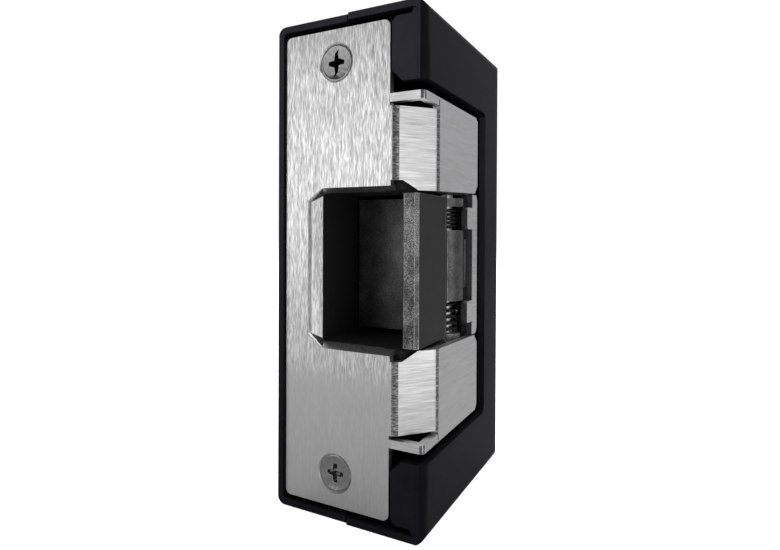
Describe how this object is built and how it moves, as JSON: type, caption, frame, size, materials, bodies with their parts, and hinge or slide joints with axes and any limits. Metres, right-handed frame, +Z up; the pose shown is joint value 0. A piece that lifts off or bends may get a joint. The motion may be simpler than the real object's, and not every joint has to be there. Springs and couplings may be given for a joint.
{
  "type": "electric door strike",
  "caption": "Electric door strike in a two-shell black case, with a stainless faceplate, formed lips, a sprung keeper and a solenoid locking lever.",
  "frame": {"origin": "middle of the case's flat rear face, level with the middle of the faceplate's height", "axes": "+Z up along the faceplate's height, +Y into the door frame (the faceplate faces -Y), +X towards the side that the keeper swings out of"},
  "size_m": [0.044, 0.0605, 0.131],
  "materials": {
    "case_black": "satin",
    "brushed_stainless": "brushed",
    "screw_steel": "polished",
    "sintered_steel": "satin, fine grain",
    "cast_black": "matt",
    "spring_black": "black oxide",
    "zinc_steel": "zinc plated",
    "nylon": "matt",
    "coil_tape": "satin",
    "rubber_black": "matt"
  },
  "bodies": {
    "case": {"left_shell": "case_black", "right_shell": "case_black", "shell_screw_1": "screw_steel", "shell_screw_2": "screw_steel", "shell_screw_3": "screw_steel", "shell_screw_4": "screw_steel", "faceplate": "brushed_stainless", "upper_plate_screw": "screw_steel", "lower_plate_screw": "screw_steel", "hinge_strap": "brushed_stainless", "hinge_pin": "zinc_steel", "upper_keeper_spring": "spring_black", "lower_keeper_spring": "spring_black", "strike_case": "cast_black", "case_screw_1": "screw_steel", "case_screw_2": "screw_steel", "case_screw_3": "screw_steel", "case_screw_4": "screw_steel", "rear_plate": "zinc_steel", "rear_plate_screw_1": "screw_steel", "rear_plate_screw_2": "screw_steel", "rear_plate_screw_3": "screw_steel", "rear_plate_screw_4": "screw_steel", "lever_bracket": "zinc_steel", "lever_pin": "zinc_steel", "lever_spring": "spring_black", "bracket_screw_1": "screw_steel", "bracket_screw_2": "screw_steel", "solenoid_yoke": "zinc_steel", "coil_bobbin": "nylon", "coil_winding": "coil_tape", "solenoid_core": "zinc_steel", "lead_socket": "nylon", "coil_lead_1": "rubber_black", "coil_lead_2": "coil_tape", "lead_grommet": "rubber_black"},
    "keeper": {"keeper": "sintered_steel"},
    "lever": {"locking_lever": "zinc_steel", "lever_bush": "nylon"},
    "plunger": {"plunger": "zinc_steel", "plunger_cross_pin": "screw_steel"}
  },
  "joints": [
    {"name": "keeper_hinge", "type": "hinge", "parent": "case", "child": "keeper", "pos_m": [0.015, -0.0297, 0], "axis": [0, 0, 1], "range_deg": [0, 50], "stiffness_Nm_per_rad": 0.05, "springref_deg": -34.38, "deforming": ["upper_keeper_spring", "lower_keeper_spring"]},
    {"name": "lever_hinge", "type": "hinge", "parent": "case", "child": "lever", "pos_m": [-0.00598, -0.0219, 0], "axis": [0, 0, -1], "range_deg": [0, 18], "stiffness_Nm_per_rad": 0.02, "springref_deg": -28.65, "deforming": ["lever_spring"]},
    {"name": "plunger_slide", "type": "slide", "parent": "case", "child": "plunger", "axis": [1, 0, 0], "range_m": [0, 0.00247]}
  ],
  "couplings": [
    {"joint": "lever_hinge", "follows": "plunger_slide", "rad_per_m": 127.18}
  ]
}
